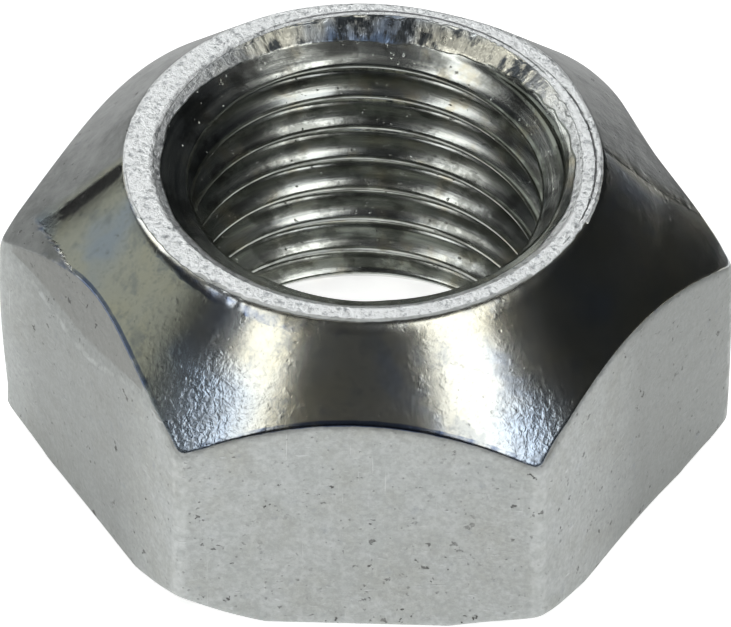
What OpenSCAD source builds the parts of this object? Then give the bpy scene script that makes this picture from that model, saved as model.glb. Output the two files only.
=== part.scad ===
// Hexagon nut with a conical nose, fine right-hand thread, formed from one piece of steel.
// Origin: centre of the underside, on the thread axis. +Z runs up through the nose. Units: mm.

/* [Hexagon] */
// Distance across the flats
across_flats = 19; // [8:0.5:46]
// Height from the underside to the top of the nose
nut_height = 10.4; // [5:0.1:40]
// Radius of the six upright corners
corner_r = 0.4; // [0.1:0.05:1.5]
// How much wider than the flats the flat disc of the underside is
underside_margin = 0.4; // [0.1:0.1:3]
// Slope of the underside chamfer, up from the flat underside
underside_slope = 30; // [15:1:60]

/* [Nose] */
// Width of the flat ring on top, between the countersink and the cone
ring_w = 0.8; // [0.2:0.1:4]
// Slope of the cone, down from the flat ring
cone_slope = 45.5; // [25:0.5:65]

/* [Thread] */
// Nominal thread diameter
thread_d = 12; // [4:0.5:36]
// Distance from one turn of the thread to the next
thread_pitch = 1.25; // [0.5:0.05:3]
// Angle by which the thread is turned about its axis
thread_turn = 35; // [0:5:355]
// How far the hole is squeezed in on two opposite sides, so that the thread grips
squeeze = 0.05; // [0.01:0.01:0.2]
// How far the countersink in the flat ring reaches beyond the thread
mouth_margin = 0.5; // [0.1:0.1:2]
// Slope of the countersink in the flat ring
mouth_slope = 28; // [20:1:60]
// How far the countersink in the underside reaches beyond the thread
foot_margin = 0.4; // [0.1:0.1:2]
// Slope of the countersink in the underside
foot_slope = 45; // [20:1:60]

/* [Hidden] */

$fn = 96;

zinc = [0.70, 0.72, 0.72];

// Hexagon
corner_centre = (across_flats / 2 - corner_r) / cos(30);
corner_reach = corner_centre + corner_r;
turned_r = corner_reach + 1;
underside_d = across_flats + underside_margin;

// ISO metric thread with 60 degree flanks
flank_slope = 30;
sharp_depth = thread_pitch * cos(flank_slope);
groove_depth = sharp_depth * 5 / 8;
major_r = thread_d / 2;
minor_r = major_r - groove_depth;
root_w = thread_pitch / 8;

// Countersinks and the flat ring around the upper one
mouth_r = major_r + mouth_margin;
foot_r = major_r + foot_margin;
ring_r = mouth_r + ring_w;

// The groove cutter runs past the wall of the hole and past both faces of the nut
cutter_inset = 0.15;
steps_per_turn = 30;
turns = ceil(nut_height / thread_pitch) + 2;

// Hexagonal bar with rounded upright corners
module hexagon_bar() {
    linear_extrude(nut_height) {
        for (side = [0:2])
            rotate(60 * side)
                square([2 * (corner_centre * sin(30)), across_flats], center = true);
        for (corner = [0:5])
            rotate(60 * corner)
                translate([corner_centre, 0])
                    circle(corner_r);
    }
}

// Turned outline: flat underside, chamfer, corners, cone and flat ring
module turned_outline() {
    chamfer_rise = (turned_r - underside_d / 2) * tan(underside_slope);
    cone_drop = (turned_r - ring_r) * tan(cone_slope);
    rotate_extrude()
        polygon([
            [0, 0],
            [underside_d / 2, 0],
            [turned_r, chamfer_rise],
            [turned_r, nut_height - cone_drop],
            [ring_r, nut_height],
            [0, nut_height]
        ]);
}

// Plain hole through the nut, squeezed to a slight oval
module plain_hole() {
    intersection() {
        translate([squeeze, 0, -1])
            cylinder(h = nut_height + 2, r = minor_r);
        translate([-squeeze, 0, -1])
            cylinder(h = nut_height + 2, r = minor_r);
    }
}

// Countersinks at the two ends of the hole
module countersinks() {
    mouth_drop = (mouth_r - minor_r) * tan(mouth_slope);
    foot_rise = (foot_r - minor_r) * tan(foot_slope);
    rotate_extrude()
        polygon([
            [0, nut_height - mouth_drop],
            [minor_r, nut_height - mouth_drop],
            [mouth_r, nut_height],
            [mouth_r, nut_height + 1],
            [0, nut_height + 1]
        ]);
    rotate_extrude()
        polygon([
            [0, -1],
            [foot_r, -1],
            [foot_r, 0],
            [minor_r, foot_rise],
            [0, foot_rise]
        ]);
}

// Right-hand helical groove that cuts the thread into the wall of the hole
module thread_groove() {
    half_root = root_w / 2;
    half_mouth = half_root + (groove_depth + cutter_inset) * tan(flank_slope);
    inner_r = minor_r - cutter_inset;
    section = [
        [inner_r, -half_mouth],
        [major_r, -half_root],
        [major_r, half_root],
        [inner_r, half_mouth]
    ];
    steps = steps_per_turn * turns;
    points = [
        for (step = [0:steps], corner = section)
            let (angle = 360 * step / steps_per_turn)
            [
                corner[0] * cos(angle),
                corner[0] * sin(angle),
                corner[1] + thread_pitch * (step / steps_per_turn - 1)
            ]
    ];
    sides = [
        for (step = [0:steps - 1], corner = [0:3])
            let (a = 4 * step + corner, b = 4 * step + (corner + 1) % 4)
            each [[a, b, b + 4], [a, b + 4, a + 4]]
    ];
    start = [[3, 2, 1, 0]];
    end = [[for (corner = [0:3]) 4 * steps + corner]];
    polyhedron(points, concat(sides, start, end), convexity = 10);
}

// The nut, one piece of zinc-plated steel
module nut() {
    color(zinc)
        difference() {
            intersection() {
                hexagon_bar();
                turned_outline();
            }
            plain_hole();
            countersinks();
            rotate(thread_turn)
                thread_groove();
        }
}

nut();
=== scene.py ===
"""Zinc-plated hexagon lock nut with a conical nose, standing on a pale studio floor."""

import math
from types import SimpleNamespace

import bmesh
import bpy
import numpy as np
from bpy.props import FloatProperty, FloatVectorProperty, IntProperty, PointerProperty
from mathutils import Matrix, Vector


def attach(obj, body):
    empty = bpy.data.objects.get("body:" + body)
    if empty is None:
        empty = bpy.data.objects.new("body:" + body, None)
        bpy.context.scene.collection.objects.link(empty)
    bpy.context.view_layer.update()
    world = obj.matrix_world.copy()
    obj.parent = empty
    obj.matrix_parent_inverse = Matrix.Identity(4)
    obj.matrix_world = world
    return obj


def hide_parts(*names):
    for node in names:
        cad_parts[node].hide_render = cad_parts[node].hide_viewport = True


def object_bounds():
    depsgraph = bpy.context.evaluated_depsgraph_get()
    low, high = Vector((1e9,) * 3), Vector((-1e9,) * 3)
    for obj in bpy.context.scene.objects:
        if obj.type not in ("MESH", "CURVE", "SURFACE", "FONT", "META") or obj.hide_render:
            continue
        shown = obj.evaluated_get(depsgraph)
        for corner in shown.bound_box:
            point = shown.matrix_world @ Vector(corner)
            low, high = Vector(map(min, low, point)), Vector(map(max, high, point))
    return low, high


bl_info = {
    "name": "Hexagon lock nut",
    "version": (1, 0, 0),
    "blender": (4, 5, 0),
    "location": "3D View > Sidebar > Lock nut",
    "description": "Builds a zinc-plated lock nut with a conical nose and its studio stage",
    "category": "Add Mesh",
}

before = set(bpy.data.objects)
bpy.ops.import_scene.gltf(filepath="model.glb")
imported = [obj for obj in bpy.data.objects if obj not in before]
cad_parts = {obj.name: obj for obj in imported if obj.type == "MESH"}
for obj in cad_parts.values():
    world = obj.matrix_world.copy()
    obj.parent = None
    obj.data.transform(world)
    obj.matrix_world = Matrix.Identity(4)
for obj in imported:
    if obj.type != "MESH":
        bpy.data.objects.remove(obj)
CAD_LOW, CAD_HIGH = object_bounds()
MM = 0.001
TURN = 2 * math.pi

ACROSS_FLATS = CAD_HIGH[1] - CAD_LOW[1]
NUT_HEIGHT = CAD_HIGH[2] - CAD_LOW[2]

# Places on the edge between cone and flats where the steel did not fill the die, so the
# edge leans in: angle about the axis, half width (degrees), how far in and down (mm).
LEANING_SPOTS = (
    (206, 30, 0.26, 2.30),
    (22, 20, 0.40, 0.80),
    (238, 6, 0.05, 0.20),
    (303, 6, 0.05, 0.20),
)
# Corners swollen outwards by the forming: angle, half width (degrees), the heights between
# which they swell and by how much (mm).
SWOLLEN_CORNERS = (
    (182, 28, 1.0, 10.2, 0.27),
    (352, 50, -4.0, 12.0, 0.27),
    (312, 30, -6.0, 8.0, 0.27),
)
# Corners where the underside chamfer is shallower, or deeper where the share is below 0:
# angle, half width (degrees), share.
UNEVEN_CHAMFERS = (
    (0, 34, 0.65),
    (184, 36, 0.80),
    (240, 18, -0.45),
    (318, 28, 0.35),
)
# Side flats darkened with painted shade: angle, half width (degrees), share.
SHADED_SIDES = (
    (206, 36, 0.62),
    (352, 50, 0.75),
)
# Place where the flat ring is spread outwards: angle, half width (degrees), amount (mm).
SPREAD_RING = (48, 28, 0.22)
# The burnishing tool touched the cone only at the front and the sides: the matt back is
# centred at the first angle and reaches to either side by the second (degrees).
MATT_BACK = (94.5, 86)
# It also missed the cone beyond a straight line at the left corner: the direction the line
# faces (degrees) and its distance from the axis (mm).
MISSED_LINE = (203, 9.36)
# Dark scar that the tool left where it came off the cone: angle, half width (degrees) and the
# radius where it ends (mm).
SCAR = (183.8, 4, 9.3)
# The front of the flat ring rolls over into the cone: angle, half width (degrees), how far (mm).
ROLLED_RING = (271, 115, 0.33)
# The countersink in the nose is wider at the back: angle, half width (degrees), amount (mm).
WIDE_MOUTH = (78, 85, 0.34)
# Chattered spots on the cone: angle, half width (degrees), radius where they start (mm).
CHATTERED_SPOTS = (
    (240, 17, 8.4),
    (301, 13, 9.0),
    (183, 9, 9.2),
    (228, 10, 9.6),
)
# Dark line on the flat ring: angle, half width (degrees), its radius and width (mm).
RING_LINE = (5, 70, 6.93, 0.03)
# Dark line round the lip of the countersink: angle, half width (degrees), its width (mm).
LIP_LINE = (80, 75, 0.03)
# Places where the rolled edge below the cone is darkest: angle, half width (degrees). The
# share is what it keeps elsewhere.
DARK_EDGES = ((272, 40), (215, 30))
FAINT_EDGE = 0.15
# Shade below the flat ring, and along the line that the tool missed: angle, half width
# (degrees), share.
RING_SHADE = (232, 60, 0.5)
LINE_SHADE = (188, 12, 0.8)
# The upright corners turn pale from the first radius over the second distance (mm).
WORN_CORNERS = (10.74, 0.12)
# The countersink is rough further in at the back: angle, half width (degrees), amount (mm).
ROUGH_MOUTH = (85, 75, 0.3)
# Where the countersink carries painted highlights and painted dark reflections: angle, half width
# (degrees).
MOUTH_PAINTED_LIGHT = (82, 76)

# How far the arcs reach at the corners of the outside (mm): from the underside to the chamfer,
# the flats, the leaning edge and the cone, and last from the flat ring to the countersink.
ARC_REACH = (0.30, 0.25, 0.16, 0.07)
LIP_REACH = 0.08
# The chamfer is never narrower than this (mm).
LEAST_CHAMFER = 0.2
# The rolled edge reaches this many times further down than in.
ROLL_SHAPE = 2.6
# Points closer than this are welded (mm).
WELD = 0.0005
# Mesh points between the ends of each flat and round each corner.
FLAT_POINTS = 42
CORNER_POINTS = 10
# Mesh rows inside each straight run of the outside, from the foot of the hole over the flats
# and the cone to its mouth, and rows round the arc between two runs.
RUN_ROWS = (8, 5, 26, 4, 30, 8, 2)
ARC_ROWS = 4

# Colours of wear, of painted shade, highlights and reflections, and of the stage, which a user
# would not change.
TINTS = {
    "clouded": (0.40, 0.41, 0.385),
    "mottled": (0.52, 0.54, 0.535),
    "grainy": (0.28, 0.29, 0.285),
    "speckled": (0.66, 0.68, 0.67),
    "scratched": (0.80, 0.81, 0.80),
    "marked": (0.64, 0.66, 0.66),
    # Painted shade on the side flats
    "dulled": (0.20, 0.21, 0.20),
    "dulled_pale": (0.30, 0.31, 0.30),
    # Painted shade on the facet where the edge leans in
    "leaning": (0.22, 0.22, 0.205),
    "dull": (0.33, 0.34, 0.335),
    "dull_dark": (0.22, 0.23, 0.225),
    "dull_pale": (0.48, 0.49, 0.485),
    "blued": (0.42, 0.47, 0.54),
    "yellowed": (0.55, 0.53, 0.42),
    "chattered": (0.40, 0.49, 0.61),
    "rubbed": (0.30, 0.31, 0.29),
    "stained": (0.24, 0.27, 0.30),
    "streaked": (0.34, 0.36, 0.35),
    "smudged": (0.44, 0.40, 0.28),
    "tarnished": (0.12, 0.125, 0.11),
    # The countersink's colours: a painted yellow highlight, a blue tint and painted dark
    # reflections
    "mouth_yellow_highlight": (0.86, 0.84, 0.70),
    "mouth_blue": (0.24, 0.34, 0.52),
    "mouth_dark_reflection": (0.06, 0.07, 0.08),
    "dented": (0.08, 0.08, 0.07),
    "ring_pits": (0.38, 0.40, 0.41),
    "burr": (0.10, 0.10, 0.11),
    "pitted": (0.09, 0.09, 0.085),
    "paper_fibre": (0.80, 0.80, 0.79),
    "black": (0.012, 0.012, 0.013),
    "black_fibre": (0.022, 0.022, 0.022),
    "dim_room": (0.016, 0.018, 0.02),
    "green_white": (0.95, 1.0, 0.93),
}


# ---------------------------------------------------------------------------
# Sizes and colours a user would change
# ---------------------------------------------------------------------------


class NutSizes(bpy.types.PropertyGroup):
    """Sizes of the nut beyond those of the frame."""

    corner_radius: FloatProperty(
        name="Corner radius",
        description="Radius of the six upright corners",
        default=0.42 * MM,
        unit="LENGTH",
    )
    underside_radius: FloatProperty(
        name="Underside radius",
        description="Radius where the underside chamfer starts",
        default=9.7 * MM,
        unit="LENGTH",
    )
    underside_slope: FloatProperty(
        name="Underside slope",
        description="Slope of the underside chamfer",
        default=math.radians(30),
        subtype="ANGLE",
    )
    ring_radius: FloatProperty(
        name="Ring radius",
        description="Outer radius of the flat ring on the nose",
        default=7.3 * MM,
        unit="LENGTH",
    )
    cone_slope: FloatProperty(
        name="Cone slope",
        description="Slope of the cone below the ring",
        default=math.radians(45.5),
        subtype="ANGLE",
    )
    nose_shift: FloatProperty(
        name="Nose shift",
        description="How far the nose sits off the thread axis, along X",
        default=-0.14 * MM,
        unit="LENGTH",
    )
    rolled_edge: FloatProperty(
        name="Rolled edge",
        description="Width of the dark rolled edge between cone and flats",
        default=0.07 * MM,
        unit="LENGTH",
    )
    ragged_edge: FloatProperty(
        name="Ragged edge",
        description="How far the edge of the flat ring wanders",
        default=0.035 * MM,
        unit="LENGTH",
    )


class ThreadSizes(bpy.types.PropertyGroup):
    """Sizes of the threaded hole."""

    radius: FloatProperty(
        name="Thread radius",
        description="Radius of the thread at its roots",
        default=6.0 * MM,
        unit="LENGTH",
    )
    pitch: FloatProperty(
        name="Pitch",
        description="Distance from one turn to the next",
        default=1.25 * MM,
        unit="LENGTH",
    )
    turned: FloatProperty(
        name="Turned",
        description="Angle by which the thread is turned about its axis",
        default=math.radians(35),
        subtype="ANGLE",
    )
    mouth_radius: FloatProperty(
        name="Mouth radius",
        description="Radius of the countersink in the flat ring",
        default=6.5 * MM,
        unit="LENGTH",
    )
    mouth_depth: FloatProperty(
        name="Mouth depth",
        description="Depth at which the countersink in the flat ring meets the crests",
        default=0.63 * MM,
        unit="LENGTH",
    )
    foot_radius: FloatProperty(
        name="Foot radius",
        description="Radius of the countersink in the underside",
        default=6.4 * MM,
        unit="LENGTH",
    )
    foot_slope: FloatProperty(
        name="Foot slope",
        description="Slope of the countersink in the underside",
        default=math.radians(45),
        subtype="ANGLE",
    )
    crest_width: FloatProperty(
        name="Crest width",
        description="Width of the flat crest between two grooves",
        default=0.17 * MM,
        unit="LENGTH",
    )
    rim_radius: FloatProperty(
        name="Rim radius",
        description="Radius outside which the countersink is as rough as the flat ring",
        default=6.25 * MM,
        unit="LENGTH",
    )
    lip: FloatProperty(
        name="Lip",
        description="How far the flat ring dips where it rounds into the countersink",
        default=0.05 * MM,
        unit="LENGTH",
    )
    worn: FloatProperty(
        name="Worn edge",
        description="How far the thread's sharp edges are rounded",
        default=0.045 * MM,
        unit="LENGTH",
    )
    rows: IntProperty(
        name="Rows per turn",
        description="Mesh rows from one turn of the thread to the next",
        default=18,
        min=8,
    )


class FinishColours(bpy.types.PropertyGroup):
    """Colours of the zinc plating."""

    flats: FloatVectorProperty(
        name="Flats",
        description="Matt zinc on the flats",
        subtype="COLOR",
        default=(0.42, 0.44, 0.43),
    )
    cone: FloatVectorProperty(
        name="Cone",
        description="Burnished zinc on the cone",
        subtype="COLOR",
        default=(0.52, 0.52, 0.46),
    )
    ring: FloatVectorProperty(
        name="Ring",
        description="Bright zinc on the flat ring",
        subtype="COLOR",
        default=(0.78, 0.80, 0.80),
    )
    bore: FloatVectorProperty(
        name="Thread",
        description="Cut steel of the thread",
        subtype="COLOR",
        default=(0.59, 0.61, 0.56),
    )
    # Also paints the shadow below the flat ring and a dark reflection along the line that the tool
    # missed
    rolled_edge_and_shade: FloatVectorProperty(
        name="Rolled edge",
        description="Blue-black steel on the rolled edge",
        subtype="COLOR",
        default=(0.06, 0.10, 0.20),
    )
    # Also paints a highlight along the ridge above the leaning facet
    worn: FloatVectorProperty(
        name="Worn corner",
        description="Pale zinc worn along the upright corners",
        subtype="COLOR",
        default=(0.66, 0.68, 0.67),
    )


class StageSettings(bpy.types.PropertyGroup):
    """Floor, lights and camera."""

    elevation: FloatProperty(
        name="Camera elevation",
        description="How far the camera looks down",
        default=math.radians(42.2),
        subtype="ANGLE",
    )
    azimuth: FloatProperty(
        name="Camera azimuth",
        description="How far the camera stands round from the front, to the right",
        default=math.radians(0.8),
        subtype="ANGLE",
    )
    roll: FloatProperty(
        name="Camera roll",
        description="How far the camera is tipped about its line of sight",
        default=math.radians(0.87),
        subtype="ANGLE",
    )
    distance: FloatProperty(
        name="Camera distance",
        description="From the camera to the point it looks at",
        default=0.855,
        unit="LENGTH",
    )
    aim_height: FloatProperty(
        name="Aim height",
        description="Height of the point the camera looks at",
        default=4.23 * MM,
        unit="LENGTH",
    )
    lens: FloatProperty(
        name="Lens",
        description="Focal length of the long close-up lens, in millimetres",
        default=1381,
    )
    box_brightness: FloatProperty(
        name="Softbox brightness",
        description="Brightness of the two softboxes beside the camera",
        default=2.7,
    )
    floor_radius: FloatProperty(
        name="Floor radius",
        description="Radius of the round floor",
        default=0.13,
        unit="LENGTH",
    )
    floor_colour: FloatVectorProperty(
        name="Floor",
        description="Colour of the floor",
        subtype="COLOR",
        default=(0.93, 0.93, 0.93),
    )


# ---------------------------------------------------------------------------
# Shader maths
# ---------------------------------------------------------------------------


class Wire:
    """A node socket that can stand in a Python expression."""

    def __init__(self, shader, socket):
        self.shader = shader
        self.socket = socket

    def _maths(self, operation, *values):
        return self.shader.node("ShaderNodeMath", {"operation": operation}, dict(enumerate(values)))

    def __add__(self, other):
        return self._maths("ADD", self, other)

    def __sub__(self, other):
        return self._maths("SUBTRACT", self, other)

    def __mul__(self, other):
        return self._maths("MULTIPLY", self, other)

    def __rsub__(self, other):
        return self._maths("SUBTRACT", other, self)

    __radd__ = __add__
    __rmul__ = __mul__

    def between(self, low, high):
        """0 below low, 1 above high and a smooth rise between them."""
        return self.shader.node(
            "ShaderNodeMapRange",
            {"interpolation_type": "SMOOTHSTEP"},
            {"Value": self, "From Min": low, "From Max": high},
        )


class Shader:
    """The node tree of one material."""

    def __init__(self, name):
        self.material = bpy.data.materials.new(name)
        self.material.use_nodes = True
        self.tree = self.material.node_tree
        self.tree.nodes.clear()

    def node(self, kind, settings=None, values=None, output=0):
        """Add a node, set it up, fill or link its sockets and return one output."""
        made = self.tree.nodes.new(kind)
        for name, setting in (settings or {}).items():
            setattr(made, name, setting)
        for name, value in (values or {}).items():
            socket = made.inputs[name]
            if isinstance(value, Wire):
                self.tree.links.new(value.socket, socket)
            else:
                socket.default_value = value
        return Wire(self, made.outputs[output])

    def noise(self, place, scale, detail=2.0, roughness=0.5, distortion=0.0):
        """Smooth noise from 0 to 1."""
        return self.node(
            "ShaderNodeTexNoise",
            {"noise_dimensions": "3D"},
            {
                "Vector": place,
                "Scale": scale,
                "Detail": detail,
                "Roughness": roughness,
                "Distortion": distortion,
            },
        )

    def stretched(self, place, scale):
        """A vector scaled by a different amount along each axis."""
        return self.node(
            "ShaderNodeVectorMath", {"operation": "MULTIPLY"}, {0: place, 1: scale}
        )

    def mix(self, share, first, second):
        """Two colours, the second by that share."""
        ends = [end if isinstance(end, Wire) else opaque(end) for end in (first, second)]
        values = {0: share, 6: ends[0], 7: ends[1]}
        return self.node("ShaderNodeMix", {"data_type": "RGBA"}, values, output=2)

    def attribute(self, name, output=2):
        """A value stored on the mesh: output 2 is a number and output 1 a vector."""
        return self.node("ShaderNodeAttribute", {"attribute_name": name}, output=output)

    def surface(self, shader):
        """Make this shader the material's surface."""
        result = self.tree.nodes.new("ShaderNodeOutputMaterial")
        self.tree.links.new(shader.socket, result.inputs["Surface"])
        return self.material


def opaque(colour):
    """A colour with full alpha."""
    return (*colour[:3], 1.0)


# ---------------------------------------------------------------------------
# Materials
# ---------------------------------------------------------------------------


def plating_masks(s, place):
    """Where each finish of the plating lies, and where shade, highlights and reflections are
    painted, from 0 to 1, with frayed borders.
    """
    fray = s.noise(place, 2600, detail=3) - 0.5

    def frayed(name, amount, low, high):
        return (s.attribute(name) + fray * amount).between(low, high)

    mask = SimpleNamespace()
    mask.hole = s.attribute("bore")
    mask.chatter = s.attribute("chatter")
    # Painted shade on the side flats
    mask.dulled = s.attribute("dulled")
    mask.cone = frayed("cone", 0.5, 0.35, 0.65)
    mask.matt = frayed("matt", 0.5, 0.0, 1.0)
    mask.shiny = mask.cone * (1 - mask.matt)
    # The back of the countersink, where highlights and dark reflections are painted
    back = s.attribute("back")
    rim = frayed("rim", 0.6, 0.3, 0.7)
    mask.mouth = rim * back
    mask.ring = frayed("ring", 0.9, 0.3, 0.7) + rim * (1 - back)
    mask.thread = mask.hole * (1 - mask.ring)
    # The rolled edge, with a painted shadow below the flat ring and a painted dark reflection along
    # the missed line
    mask.rolled_edge_and_shade = frayed("rolled_edge_and_shade", 1.4, 0.15, 1.0)
    # Painted shade on the facet where the edge leans in
    mask.lean = frayed("lean", 0.6, 0.3, 0.7)
    # Worn corners, and a painted highlight along the ridge above the leaning facet
    mask.corner = frayed("corner", 2.4, 0.4, 1.5)
    mask.burr = frayed("burr", 0.8, 0.25, 0.75)
    return mask


def plating_wear(s, place):
    """Patterns of wear on the outside, from 0 to 1."""
    wear = SimpleNamespace()
    wear.blotch = s.noise(place, 420, detail=4, roughness=0.6)
    wear.mottle = s.noise(place, 1100, detail=5, roughness=0.65)
    wear.grain = s.noise(place, 7000, detail=2, roughness=0.6)
    wear.speckle = s.noise(place, 4600, detail=4, roughness=0.7)
    wear.tint = s.noise(place, 300, detail=3, distortion=0.6)
    wear.ripple = s.noise(place, 5200, detail=2, roughness=0.6, distortion=0.4)
    wear.dents = s.noise(place, 5600, detail=1).between(0.70, 0.80)

    depth = s.node("ShaderNodeSeparateXYZ", {}, {"Vector": place}, output=2)
    low = 1 - depth.between(0.0, 0.9 * MM)
    patches = s.noise(place, 620, detail=1).between(0.42, 0.66)
    pits = (s.noise(place, 2900, detail=3, roughness=0.6) + low * 0.06).between(0.65, 0.70)
    wear.pits = pits * (patches * 0.8 + 0.2 + low * 0.5)

    marks = s.noise(s.stretched(place, (1500, 1500, 6500)), 1.0, detail=2, distortion=0.5)
    wear.marks = marks.between(0.66, 0.78)
    upright = s.noise(s.stretched(place, (9000, 9000, 520)), 1.0, detail=1)
    level = s.noise(s.stretched(place, (700, 700, 9500)), 1.0, detail=1)
    wear.scratches = upright.between(0.73, 0.82) + level.between(0.75, 0.84)
    return wear


def thread_wear(s):
    """Patterns that run along the thread and round the countersink, from 0 to 1."""
    lay = s.attribute("lay", output=1)
    wear = SimpleNamespace()
    wear.streaks = s.noise(s.stretched(lay, (160, 6000, 0)), 1.0, detail=3, roughness=0.6)
    wear.smudge = s.noise(s.stretched(lay, (900, 1600, 0)), 1.0, detail=4, roughness=0.6)
    wear.tarnish = s.noise(s.stretched(lay, (620, 1500, 0)), 1.0, detail=5, roughness=0.65)
    wear.flutes = s.noise(s.stretched(lay, (3400, 1900, 0)), 1.0, detail=4, roughness=0.6)
    # Patches that paint the dark reflections between the countersink's highlights
    chips = s.noise(s.stretched(lay, (3000, 2200, 0)), 1.0, detail=5, roughness=0.7)
    wear.chips = (chips + (wear.tarnish - 0.5) * 0.7).between(0.44, 0.60)
    return wear


def flats_colour(s, colours, mask, wear):
    """Matt zinc: clouded and marked, with painted shade on the side flats and on the leaning facet,
    pale along the corners and with a painted highlight along the ridge above the facet.
    """
    colour = s.mix(wear.blotch.between(0.3, 0.7), colours.flats, TINTS["clouded"])
    colour = s.mix(wear.mottle.between(0.3, 0.7) * 0.8, colour, TINTS["mottled"])
    colour = s.mix(wear.grain.between(0.35, 0.65) * 0.26, colour, TINTS["grainy"])
    colour = s.mix(wear.speckle.between(0.50, 0.64) * 0.18, colour, TINTS["speckled"])
    colour = s.mix(wear.scratches * 0.3, colour, TINTS["scratched"])
    colour = s.mix(wear.marks * 0.7, colour, TINTS["marked"])
    # Painted shade on the side flats
    dulled = s.mix(wear.mottle, TINTS["dulled"], TINTS["dulled_pale"])
    colour = s.mix(mask.dulled, colour, dulled)
    # Pale worn corners, and a painted highlight along the ridge above the leaning facet
    colour = s.mix(mask.corner * 0.4, colour, colours.worn)
    # Painted shade on the facet where the edge leans in
    return s.mix(mask.lean * 0.55, colour, TINTS["leaning"])


def cone_colour(s, colours, mask, wear):
    """Burnished zinc with blue and yellow tints at the front, dull zinc at the back."""
    dull = s.mix(wear.blotch.between(0.3, 0.7), TINTS["dull"], TINTS["dull_dark"])
    dull = s.mix(wear.mottle.between(0.3, 0.7) * 0.6, dull, TINTS["dull_pale"])
    shiny = s.mix(wear.tint.between(0.5, 0.7), colours.cone, TINTS["blued"])
    shiny = s.mix(wear.tint.between(0.3, 0.5), TINTS["yellowed"], shiny)
    shiny = s.mix(mask.chatter * 0.85, shiny, TINTS["chattered"])
    shiny = s.mix(wear.grain.between(0.52, 0.70) * 0.35, shiny, TINTS["rubbed"])
    shiny = s.mix(wear.mottle.between(0.50, 0.66) * 0.45, shiny, TINTS["stained"])
    return s.mix(mask.matt, shiny, dull)


def thread_colour(s, colours, mask, wear, cut):
    """Cut steel, streaked and tarnished, with painted highlights and painted dark reflections in
    the countersink.
    """
    colour = s.mix(cut.streaks.between(0.3, 0.65), TINTS["streaked"], colours.bore)
    colour = s.mix(cut.smudge.between(0.52, 0.70) * 0.6, colour, TINTS["smudged"])
    colour = s.mix(cut.tarnish.between(0.47, 0.60) * 0.70, colour, TINTS["tarnished"])
    # Painted yellow highlights and a blue tint, broken by painted dark reflections
    mouth = s.mix(wear.tint.between(0.42, 0.60), TINTS["mouth_yellow_highlight"], TINTS["mouth_blue"])
    mouth = s.mix(cut.chips, mouth, TINTS["mouth_dark_reflection"])
    colour = s.mix(mask.mouth * 0.9, colour, mouth)
    return s.mix(wear.dents * 0.5, colour, TINTS["dented"])


def plating_colour(s, colours, mask, wear, cut):
    """Every finish in its place, with dark edges, a painted shadow below the flat ring, a painted
    dark reflection along the missed line, burrs and pits on top.
    """
    flats = flats_colour(s, colours, mask, wear)
    colour = s.mix(mask.cone, flats, cone_colour(s, colours, mask, wear))
    colour = s.mix(mask.hole, colour, thread_colour(s, colours, mask, wear, cut))
    ring = s.mix(wear.speckle.between(0.33, 0.50), TINTS["ring_pits"], colours.ring)
    colour = s.mix(mask.ring, colour, ring)
    # The rolled edge, a painted shadow below the flat ring and a painted dark reflection along the
    # missed line
    colour = s.mix(mask.rolled_edge_and_shade * 0.85, colour, colours.rolled_edge_and_shade)
    colour = s.mix(mask.burr * 0.8, colour, TINTS["burr"])
    pitted = (wear.pits * 0.9 + wear.dents * 0.35) * (1 - mask.hole)
    pitted = pitted * (1 - mask.shiny * 0.6) * (1 - mask.ring * 0.7)
    return s.mix(pitted, colour, TINTS["pitted"])


def plating_roughness(mask, wear, cut):
    """Roughness of every finish."""
    roughness = 0.42 + wear.mottle * 0.18 + wear.grain * 0.10
    cone = 0.10 + (wear.blotch + wear.mottle) * 0.08 + wear.grain * 0.05 + mask.chatter * 0.06
    thread = 0.09 + (cut.streaks + cut.smudge) * 0.14
    mouth = 0.18 + cut.smudge * 0.24
    ring = 0.32 + wear.speckle * 0.24
    shares = (mask.shiny, mask.hole, mask.mouth, mask.ring)
    for share, finish in zip(shares, (cone, thread, mouth, ring)):
        roughness = roughness * (1 - share) + finish * share
    return roughness


def plating_relief(mask, wear, cut):
    """Height of the surface in shares of the bump distance."""
    matt = wear.grain * 0.30 + wear.mottle * 1.5 + wear.blotch * 2.0 + wear.scratches * 0.2
    matt = matt + wear.marks * 0.3 - wear.pits - wear.dents * 0.4
    relief = matt * (1 - mask.shiny * 0.96) * (1 - mask.hole) * (1 - mask.ring * 0.6)
    relief = relief + (wear.speckle * 1.9 - mask.burr * 1.5) * mask.ring
    relief = relief + wear.ripple * mask.shiny * (mask.chatter * 0.6 + 0.03)
    relief = relief - wear.dents * mask.shiny * 0.04
    relief = relief + (cut.streaks * 0.2 + cut.smudge * 0.25 - wear.dents * 0.5) * mask.thread
    return relief + cut.flutes * mask.mouth * 1.3


def zinc_plating(colours):
    """Zinc plating: matt pitted flats, burnished cone, bright ring and cut thread, with painted
    shade, highlights and reflections.
    """
    s = Shader("zinc_plating")
    place = s.node("ShaderNodeTexCoord", {}, output=3)
    mask = plating_masks(s, place)
    wear = plating_wear(s, place)
    cut = thread_wear(s)
    relief = {"Strength": 0.6, "Distance": 0.06 * MM, "Height": plating_relief(mask, wear, cut)}
    steel = s.node(
        "ShaderNodeBsdfPrincipled",
        {},
        {
            "Base Color": plating_colour(s, colours, mask, wear, cut),
            "Metallic": 1.0,
            "Roughness": plating_roughness(mask, wear, cut),
            "Normal": s.node("ShaderNodeBump", {}, relief),
        },
    )
    return s.surface(steel)


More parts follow.
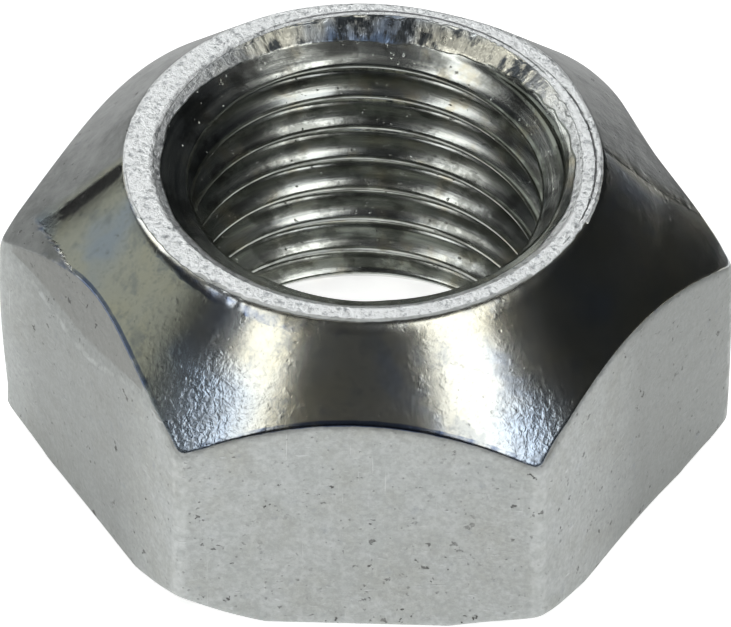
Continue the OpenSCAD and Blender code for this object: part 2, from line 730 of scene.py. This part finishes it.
def pale_floor(colour):
    """Pale seamless paper."""
    s = Shader("pale_paper")
    place = s.node("ShaderNodeTexCoord", {}, output=3)
    fibre = s.noise(place, 900, detail=3)
    paper = s.mix(fibre * 0.06, colour, TINTS["paper_fibre"])
    sheet = s.node(
        "ShaderNodeBsdfPrincipled",
        {},
        {
            "Base Color": paper,
            "Roughness": 0.9,
            "Emission Color": opaque(colour),
            "Emission Strength": 0.80,
        },
    )
    return s.surface(sheet)


def black_card():
    """Dull black card with a faint fibre."""
    s = Shader("black_card")
    place = s.node("ShaderNodeTexCoord", {}, output=3)
    fibre = s.noise(place, 700, detail=3)
    black = s.mix(fibre, TINTS["black"], TINTS["black_fibre"])
    card = s.node("ShaderNodeBsdfPrincipled", {}, {"Base Color": black, "Roughness": 0.9})
    return s.surface(card)


# ---------------------------------------------------------------------------
# Shapes
# ---------------------------------------------------------------------------


def wander(angle, waves, seed):
    """A closed random wave round the nut, from about -1 to 1."""
    rng = np.random.default_rng(seed)
    total = np.zeros_like(angle)
    for wave in waves:
        total += rng.uniform(0.5, 1) * np.sin(wave * angle + rng.uniform(0, TURN))
    return total / math.sqrt(len(waves))


def swelling(angle, centre, half_width):
    """1 at centre, falling smoothly to 0 at half_width to either side, all in degrees."""
    off = (np.degrees(angle) - centre + 180) % 360 - 180
    return np.cos(np.clip(off / half_width, -1, 1) * math.pi / 2) ** 2


def ramp(value, start, width):
    """0 up to start, then rising to 1 over width."""
    return np.clip((value - start) / width, 0, 1)


def line_share(distance, width):
    """1 on a line, falling smoothly to 0 to either side of it."""
    return np.exp(-((distance / width) ** 2))


def eased(count, power=1.0):
    """Even steps strictly between 0 and 1, drawn towards both ends."""
    step = (np.arange(count) + 1) / (count + 1)
    return (1 - power) * step + power * (1 - np.cos(math.pi * step)) / 2


def hexagon_outline(across, radius, per_flat, per_corner):
    """Points round a hexagon with rounded corners, starting beside the corner at -120 degrees."""
    centre = (across / 2 - radius) / math.cos(math.pi / 6)
    half = centre * math.sin(math.pi / 6)
    points = []
    for side in range(6):
        facing = math.radians(60 * side - 90)
        out = np.array([math.cos(facing), math.sin(facing)])
        along = np.array([-math.sin(facing), math.cos(facing)])
        for share in (-1, *(2 * eased(per_flat, 0.75) - 1), 1):
            points.append(out * across / 2 + along * half * share)
        corner = facing + math.pi / 6
        hub = centre * np.array([math.cos(corner), math.sin(corner)])
        for share in eased(per_corner, 0.0):
            lean = facing + math.pi / 3 * share
            points.append(hub + radius * np.array([math.cos(lean), math.sin(lean)]))
    return np.array(points)


def rounded_path(corners, radii, counts):
    """Points along a path per column, its inner corners rounded.

    corners is a list of (columns, 2) arrays, radii has one value for each inner corner and
    counts the number of points inside each straight run.
    """
    arc = eased(ARC_ROWS, 0.0)[:, None, None]
    leave = corners[0]
    rows = [corners[0][None]]
    for index, count in enumerate(counts):
        target = corners[index + 1]
        step = target - corners[index]
        length = np.linalg.norm(step, axis=1, keepdims=True)
        last = index == len(counts) - 1
        cut = 0 if last else np.minimum(radii[index], length * 0.45)
        arrive = target - step / length * cut
        share = eased(count, 0.8)[:, None, None]
        rows.append(leave * (1 - share) + arrive * share)
        if last:
            rows.append(target[None])
            break
        onward = corners[index + 2] - target
        reach = np.linalg.norm(onward, axis=1, keepdims=True)
        leave = target + onward / reach * np.minimum(radii[index], reach * 0.45)
        rows.append(arrive[None])
        rows.append((1 - arc) ** 2 * arrive + 2 * arc * (1 - arc) * target + arc**2 * leave)
        rows.append(leave[None])
    return np.concatenate(rows)


# Finishes of the plating, and the masks where shade, highlights and reflections are painted
FINISH_AND_SHADE_MASKS = (
    "cone",
    "matt",
    "dulled",
    "chatter",
    "ring",
    "burr",
    "rim",
    "back",
    "bore",
    "rolled_edge_and_shade",
    "lean",
    "corner",
)


class Patch:
    """A grid of points on the nut with the share of each finish, and of each painted shade,
    highlight and reflection, there.
    """

    def __init__(self, angle, radius, height, lay, closing):
        level = 0 * radius
        flat = [radius * np.cos(angle), radius * np.sin(angle), level + height]
        self.points = np.stack(flat, axis=-1)
        self.lay = np.stack([level + lay[0], level + lay[1], level], axis=-1)
        self.closing = closing
        self.finish = {name: level for name in FINISH_AND_SHADE_MASKS}

    def paint(self, name, values):
        """Store the share of one finish, or of one painted shade, highlight or reflection, at every
        point.
        """
        self.finish[name] = np.broadcast_to(values, self.points.shape[:2])


def leaning_edge(angle, sizes):
    """How far the edge between cone and flats leans in and reaches down."""
    inward = np.full_like(angle, sizes.rolled_edge)
    down = np.full_like(angle, sizes.rolled_edge * ROLL_SHAPE)
    for centre, half_width, spot_in, spot_down in LEANING_SPOTS:
        spot = swelling(angle, centre, half_width)
        inward += spot * spot_in * MM
        down += spot * spot_down * MM
    return inward, down


def chamfer_height(angle, reach, under, sizes):
    """Height of the underside chamfer."""
    chamfer = (reach - under) * math.tan(sizes.underside_slope)
    for centre, half_width, share in UNEVEN_CHAMFERS:
        chamfer *= 1 - share * swelling(angle, centre, half_width)
    return chamfer


def swollen(angle, radius, height):
    """The radius with the corners swollen outwards."""
    for centre, half_width, low, high, amount in SWOLLEN_CORNERS:
        rise = ramp(height / MM, low, high - low)
        swell = swelling(angle, centre, half_width) * np.sin(math.pi * rise)
        radius = radius + amount * MM * swell * ramp(radius / MM, 9, 1.5)
    return radius


class Outside:
    """Underside, chamfer, flats, cone and flat ring of the nut."""

    def __init__(self, sizes, thread):
        outline = hexagon_outline(ACROSS_FLATS, sizes.corner_radius, FLAT_POINTS, CORNER_POINTS)
        self.sizes = sizes
        self.angle = np.unwrap(np.arctan2(outline[:, 1], outline[:, 0]))
        self.reach = np.linalg.norm(outline, axis=1)
        self.front = swelling(self.angle, *ROLLED_RING[:2])
        self.inward, self.down = leaning_edge(self.angle, sizes)
        self.mouth = mouth_edge(self.angle, thread)
        self.lip_start = self.mouth + 2.5 * thread.lip * (1 - 0.6 * self.front)

        path = rounded_path(self.corners(thread), self.rounding(), RUN_ROWS)
        self.height = path[..., 1]
        self.radius = swollen(self.angle, path[..., 0], self.height)
        self.row = np.arange(len(path))[:, None]
        # The row in which each arc ends, counted from the foot of the hole
        arc_ends = np.cumsum([rows + ARC_ROWS + 2 for rows in RUN_ROWS[:-1]])
        self.chamfer_start, _, self.flat_end, self.roll_end, self.cone_end, _ = arc_ends

    def corners(self, thread):
        """The sharp corners of the outside, each as radius and height round the nut."""
        level = np.zeros_like(self.angle)
        under = np.minimum(self.sizes.underside_radius, self.reach - LEAST_CHAMFER * MM)
        chamfer = chamfer_height(self.angle, self.reach, under, self.sizes)
        spread = SPREAD_RING[2] * MM * swelling(self.angle, *SPREAD_RING[:2])
        ring = self.sizes.ring_radius + self.sizes.nose_shift * np.cos(self.angle) + spread
        drop = math.tan(self.sizes.cone_slope)
        shoulder = self.reach - self.inward
        shoulder_height = NUT_HEIGHT - (shoulder - ring) * drop
        edge_height = np.minimum(
            NUT_HEIGHT - (self.reach - ring) * drop, shoulder_height - self.down
        )
        corners = [
            (level + thread.foot_radius, level),
            (under, level),
            (self.reach, chamfer),
            (self.reach, edge_height),
            (shoulder, shoulder_height),
            (ring, level + NUT_HEIGHT),
            (self.lip_start, level + NUT_HEIGHT),
            (self.mouth, level + NUT_HEIGHT - thread.lip),
        ]
        return [np.column_stack(corner) for corner in corners]

    def rounding(self):
        """How far the arc at each inner corner reaches along the runs beside it."""
        ragged = 1.5 + wander(self.angle, (3, 7, 17, 31, 53, 71, 97), 5)
        ring = 2 * self.sizes.ragged_edge * ragged + ROLLED_RING[2] * MM * self.front
        return [*(reach * MM for reach in ARC_REACH), ring[:, None], LIP_REACH * MM]

    def patch(self):
        """The outside as a painted patch."""
        lay = (self.angle * self.sizes.ring_radius, self.height)
        patch = Patch(self.angle, self.radius, self.height, lay, 0)
        self.paint_cone(patch)
        self.paint_ring(patch)
        self.paint_edge(patch)
        self.paint_flats(patch)
        return patch

    def past_missed_line(self):
        """How far a point lies beyond the line that the burnishing tool missed (mm)."""
        facing = math.radians(MISSED_LINE[0])
        return self.radius * np.cos(self.angle - facing) / MM - MISSED_LINE[1]

    def paint_cone(self, patch):
        """Burnished front, matt back and chattered spots."""
        patch.paint("cone", (self.row >= self.roll_end - 3) & (self.row < self.cone_end - 1))
        from_back = np.abs((np.degrees(self.angle) - MATT_BACK[0] + 180) % 360 - 180)
        matt = ramp(MATT_BACK[1] - from_back, -2, 4)
        missed = ramp(self.past_missed_line(), -0.03, 0.06)
        patch.paint("matt", np.maximum(matt, missed))
        chatter = 0 * self.radius
        for centre, half_width, start in CHATTERED_SPOTS:
            outward = ramp(self.radius, start * MM, 0.8 * MM)
            chatter = np.maximum(chatter, swelling(self.angle, centre, half_width) * outward)
        patch.paint("chatter", chatter)

    def paint_ring(self, patch):
        """The flat ring, the dark lines on it and the scar that ends at it."""
        patch.paint("ring", self.row >= self.cone_end - 3 + 3 * self.front)
        on_ring = self.row > self.cone_end
        ring_line = line_share(self.radius / MM - RING_LINE[2], RING_LINE[3])
        ring_line = ring_line * on_ring * swelling(self.angle, *RING_LINE[:2])
        lip_line = line_share(self.radius - self.lip_start, LIP_LINE[2] * MM)
        lip_line = lip_line * on_ring * swelling(self.angle, *LIP_LINE[:2])
        on_cone = (self.row > self.roll_end) & (self.row < self.cone_end - 3)
        scar = swelling(self.angle, *SCAR[:2]) * on_cone * (self.radius < SCAR[2] * MM)
        patch.paint("burr", np.maximum(np.maximum(ring_line, lip_line), 1.1 * scar))

    def paint_edge(self, patch):
        """The dark rolled edge of the cone, a painted shadow below the flat ring, a painted dark
        reflection along the line that the tool missed, and painted shade on the facet where the
        edge leans in.
        """
        row = self.row
        dark = np.maximum(*(swelling(self.angle, *edge) for edge in DARK_EDGES))
        on_edge = (row >= self.roll_end - 4) & (row <= self.roll_end + 2)
        rolled_edge_and_shade = on_edge * (FAINT_EDGE + (1 - FAINT_EDGE) * dark)
        # Painted shadow below the flat ring
        below_ring = (row >= self.cone_end - 5) & (row <= self.cone_end - 3)
        ring_shade = RING_SHADE[2] * below_ring * swelling(self.angle, *RING_SHADE[:2])
        # Painted dark reflection along the line that the tool missed
        missed = line_share(self.past_missed_line(), 0.05) * (row > self.roll_end)
        line_shade = LINE_SHADE[2] * missed * swelling(self.angle, *LINE_SHADE[:2])
        patch.paint("rolled_edge_and_shade", np.maximum(np.maximum(rolled_edge_and_shade, ring_shade), line_shade))
        # Painted shade on the facet where the edge leans in
        facet = (row > self.flat_end + 1) & (row < self.roll_end)
        patch.paint("lean", facet * self.leaning())

    def leaning(self):
        """Where the edge leans in enough to show a facet, from 0 to 1."""
        return ramp(self.inward / MM, 0.08, 0.06)

    def paint_flats(self, patch):
        """Painted shade on the side flats, the worn corners and a painted highlight along the ridge
        above the leaning facet.
        """
        # Painted shade on the side flats
        dulled = 0 * self.angle
        for centre, half_width, share in SHADED_SIDES:
            side = np.clip(1.5 * swelling(self.angle, centre, half_width), 0, 1)
            dulled = np.maximum(dulled, share * side)
        patch.paint("dulled", dulled)
        on_corner = ramp(self.reach, WORN_CORNERS[0] * MM, WORN_CORNERS[1] * MM)
        on_corner = on_corner * (self.row > self.chamfer_start)
        # Painted highlight along the ridge above the leaning facet
        ridge_highlight = (self.row >= self.flat_end - 2) & (self.row <= self.flat_end)
        patch.paint("corner", np.maximum(on_corner, 0.7 * ridge_highlight * self.leaning()))


def mouth_edge(angle, thread):
    """Radius of the edge of the countersink in the nose."""
    centre, half_width, amount = WIDE_MOUTH
    return thread.mouth_radius + amount * MM * swelling(angle, centre, half_width)


def worn_thread(run, start, thread):
    """Radius at the crests, and all along the thread with its sharp edges worn."""
    depth = thread.pitch * math.cos(math.pi / 6) * 5 / 8
    crest = thread.radius - depth
    crest_place = thread.pitch * (0.5 + (start - thread.turned) / TURN)
    groove = np.zeros_like(run)
    smears = np.linspace(-thread.worn, thread.worn, 5)
    for smear in smears:
        off = (run + smear - crest_place) % thread.pitch
        off = np.minimum(off, thread.pitch - off)
        groove += np.clip((off - thread.crest_width / 2) / math.tan(math.pi / 6), 0, depth)
    return crest, crest + groove / len(smears)


def thread_patch(angle, thread):
    """Wall of the hole: helical thread and a countersink at each end."""
    step = thread.pitch / thread.rows
    count = math.ceil((NUT_HEIGHT + thread.pitch) / step)
    run = -thread.pitch + step * np.arange(count + 1)
    along = (angle - angle[0]) / TURN * thread.pitch
    top = NUT_HEIGHT - thread.lip
    height = np.clip(run[:, None] + along, 0, top)

    crest, wall = worn_thread(run, angle[0], thread)
    edge = mouth_edge(angle, thread)
    mouth = edge - (top - height) * (edge - crest) / thread.mouth_depth
    foot = thread.foot_radius - height / math.tan(thread.foot_slope)
    radius = np.maximum(np.maximum(wall[:, None], mouth), foot)

    patch = Patch(angle, radius, height, (angle * crest, run[:, None]), thread.rows)
    patch.paint("bore", 1.0)
    rim = thread.rim_radius - ROUGH_MOUTH[2] * MM * swelling(angle, *ROUGH_MOUTH[:2])
    patch.paint("rim", ramp(radius, rim, 0.08 * MM) * (height > NUT_HEIGHT / 2))
    # Where highlights and dark reflections are painted in the countersink
    patch.paint("back", np.clip(2 * swelling(angle, *MOUTH_PAINTED_LIGHT), 0, 1))
    return patch


def patch_faces(patch, first_index, flipped):
    """Corners of every face of a closed patch, as vertex numbers."""
    rows, columns = patch.points.shape[:2]
    row, column = np.meshgrid(np.arange(rows - 1), np.arange(columns), indexing="ij")
    ahead = (column + 1) % columns
    jump = np.where(ahead == 0, patch.closing, 0)
    near = np.stack([row, np.minimum(row + 1, rows - 1)])
    far = np.minimum(near + jump, rows - 1)
    quads = np.stack(
        [
            near[0] * columns + column,
            far[0] * columns + ahead,
            far[1] * columns + ahead,
            near[1] * columns + column,
        ],
        axis=-1,
    ).reshape(-1, 4)
    if flipped:
        quads = quads[:, ::-1]
    return quads + first_index


def join_patches(name, patches):
    """One closed mesh of several patches, with their finishes and painted light as attributes."""
    points = np.concatenate([patch.points.reshape(-1, 3) for patch in patches])
    faces = []
    first = 0
    for index, patch in enumerate(patches):
        faces.append(patch_faces(patch, first, flipped=index == 1))
        first += patch.points.shape[0] * patch.points.shape[1]
    faces = np.concatenate(faces)

    mesh = bpy.data.meshes.new(name)
    mesh.from_pydata(points.tolist(), [], faces.tolist())
    lay = np.concatenate([patch.lay.reshape(-1, 3) for patch in patches])
    stored = mesh.attributes.new("lay", "FLOAT_VECTOR", "POINT")
    stored.data.foreach_set("vector", lay.astype(np.float32).ravel())
    for finish in FINISH_AND_SHADE_MASKS:
        values = np.concatenate([patch.finish[finish].ravel() for patch in patches])
        stored = mesh.attributes.new(finish, "FLOAT", "POINT")
        stored.data.foreach_set("value", values.astype(np.float32))
    return mesh


def close_mesh(obj):
    """Weld the seams, drop faces with no area and smooth the shading."""
    work = bmesh.new()
    work.from_mesh(obj.data)
    bmesh.ops.remove_doubles(work, verts=work.verts, dist=WELD * MM)
    bmesh.ops.dissolve_degenerate(work, edges=work.edges, dist=WELD * MM)
    bmesh.ops.recalc_face_normals(work, faces=work.faces)
    work.to_mesh(obj.data)
    work.free()
    obj.data.polygons.foreach_set("use_smooth", [True] * len(obj.data.polygons))
    obj.data.update()


def put_in_scene(name, mesh):
    """Link a mesh to the scene as a new object."""
    obj = bpy.data.objects.new(name, mesh)
    bpy.context.scene.collection.objects.link(obj)
    return obj


def softbox(name, place, along, size, brightness, target=(0, 0, 0)):
    """A rectangular light that faces the target, its long side along one direction."""
    lamp = bpy.data.lights.new(name, "AREA")
    lamp.shape = "RECTANGLE"
    lamp.size, lamp.size_y = size
    lamp.energy = math.pi * size[0] * size[1] * brightness
    obj = bpy.data.objects.new(name, lamp)
    bpy.context.scene.collection.objects.link(obj)
    back = (Vector(place) - Vector(target)).normalized()
    side = Vector(along).cross(back).normalized()
    up = back.cross(side)
    obj.matrix_world = Matrix.Translation(place) @ Matrix((side, up, back)).transposed().to_4x4()
    return obj


# ---------------------------------------------------------------------------
# Operators
# ---------------------------------------------------------------------------


class MakeNut(bpy.types.Operator):
    """Build the nut with its thread, worn edges and zinc plating."""

    bl_idname = "locknut.make_nut"
    bl_label = "Make the nut"

    def execute(self, context):
        sizes = context.scene.locknut_sizes
        thread = context.scene.locknut_thread
        outside = Outside(sizes, thread)
        wall = thread_patch(outside.angle, thread)
        nut = put_in_scene("lock_nut", join_patches("lock_nut", [outside.patch(), wall]))
        close_mesh(nut)
        nut.data.materials.append(zinc_plating(context.scene.locknut_colours))
        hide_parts("nut")
        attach(nut, "root")
        return {"FINISHED"}


class SetStage(bpy.types.Operator):
    """Lay the floor and set the lights and the camera."""

    bl_idname = "locknut.set_stage"
    bl_label = "Set the stage"

    def execute(self, context):
        stage = context.scene.locknut_stage
        self.lay_floor(stage)
        self.set_lights(stage)
        self.set_camera(context, stage)
        return {"FINISHED"}

    def lay_floor(self, stage):
        """A round sheet of pale paper."""
        mesh = bpy.data.meshes.new("floor")
        sides = 96
        edge = [TURN * step / sides for step in range(sides)]
        radius = stage.floor_radius
        outline = [(radius * math.cos(turn), radius * math.sin(turn), 0) for turn in edge]
        mesh.from_pydata(outline, [], [range(sides)])
        floor = put_in_scene("floor", mesh)
        floor.data.materials.append(pale_floor(stage.floor_colour))

    def set_lights(self, stage):
        """Softboxes to both sides, behind and low on the left, in a dim room."""
        world = bpy.data.worlds.new("dim_room")
        world.use_nodes = True
        background = world.node_tree.nodes["Background"]
        background.inputs["Color"].default_value = opaque(TINTS["dim_room"])
        bpy.context.scene.world = world
        strength = stage.box_brightness
        softbox("softbox_left", (-0.106, -0.072, 0.2), (-0.33, -0.94, 0), (0.058, 0.22), strength)
        softbox("softbox_right", (0.108, -0.080, 0.2), (0.53, -0.85, 0), (0.084, 0.22), strength)
        softbox("front_fill", (0, -0.14, 0.155), (1, 0, 0), (0.07, 0.09), 0.05)
        softbox("back_light", (-0.045, 0.175, 0.205), (1, 0, 0), (0.13, 0.26), 3.0)
        left = softbox("left_card", (-0.221, 0.045, 0.078), (0, 0, 1), (0.25, 0.14), 0.48)
        left.data.color = TINTS["green_white"]
        self.stand_flag("left_flag", 138, 18)
        self.stand_flag("right_flag", 38, 60)

    def stand_flag(self, name, facing, spread):
        """A low black card, curved round the nut, that keeps the far floor out of the cone."""
        away, tall, steps = 0.08, 0.014, 16
        turns = [
            math.radians(facing + spread * (step / steps - 0.5)) for step in range(steps + 1)
        ]
        points = [
            (away * math.cos(turn), away * math.sin(turn), height)
            for height in (0, tall)
            for turn in turns
        ]
        up = steps + 1
        faces = [(step, step + 1, step + 1 + up, step + up) for step in range(steps)]
        mesh = bpy.data.meshes.new(name)
        mesh.from_pydata(points, [], faces)
        flag = put_in_scene(name, mesh)
        flag.data.materials.append(black_card())
        flag.visible_camera = False

    def set_camera(self, context, stage):
        """A long close-up lens that looks down on the nut from the front."""
        lens = bpy.data.cameras.new("camera")
        lens.lens = stage.lens
        lens.clip_start = 0.01
        lens.clip_end = 20
        camera = bpy.data.objects.new("camera", lens)
        context.scene.collection.objects.link(camera)
        level = math.cos(stage.elevation)
        back = Vector(
            (
                math.sin(stage.azimuth) * level,
                -math.cos(stage.azimuth) * level,
                math.sin(stage.elevation),
            )
        )
        right = Vector((math.cos(stage.azimuth), math.sin(stage.azimuth), 0))
        up = back.cross(right)
        turn = Matrix((right, up, back)).transposed() @ Matrix.Rotation(stage.roll, 3, "Z")
        aim = Vector((0, 0, stage.aim_height))
        camera.matrix_world = Matrix.Translation(aim + back * stage.distance) @ turn.to_4x4()
        context.scene.camera = camera
        context.scene.view_settings.view_transform = "Standard"


# ---------------------------------------------------------------------------
# Sidebar panel and registration
# ---------------------------------------------------------------------------


class LockNutPanel(bpy.types.Panel):
    """Sizes, colours and buttons of the lock nut."""

    bl_idname = "VIEW3D_PT_locknut"
    bl_label = "Lock nut"
    bl_space_type = "VIEW_3D"
    bl_region_type = "UI"
    bl_category = "Lock nut"

    def draw(self, context):
        for group in SETTINGS:
            box = self.layout.box()
            settings = getattr(context.scene, group)
            for name in settings.__annotations__:
                box.prop(settings, name)
        for operator in OPERATORS:
            self.layout.operator(operator.bl_idname)


SETTINGS = {
    "locknut_sizes": NutSizes,
    "locknut_thread": ThreadSizes,
    "locknut_colours": FinishColours,
    "locknut_stage": StageSettings,
}
OPERATORS = (MakeNut, SetStage)


def register():
    """Add the settings, the operators and the panel."""
    for name, group in SETTINGS.items():
        bpy.utils.register_class(group)
        setattr(bpy.types.Scene, name, PointerProperty(type=group))
    for kind in (*OPERATORS, LockNutPanel):
        bpy.utils.register_class(kind)


def unregister():
    """Remove everything that register adds."""
    for kind in (LockNutPanel, *reversed(OPERATORS)):
        bpy.utils.unregister_class(kind)
    for name, group in reversed(SETTINGS.items()):
        delattr(bpy.types.Scene, name)
        bpy.utils.unregister_class(group)


def main():
    """Build everything in order."""
    register()
    bpy.ops.locknut.make_nut()
    bpy.ops.locknut.set_stage()


if __name__ == "__main__":
    main()
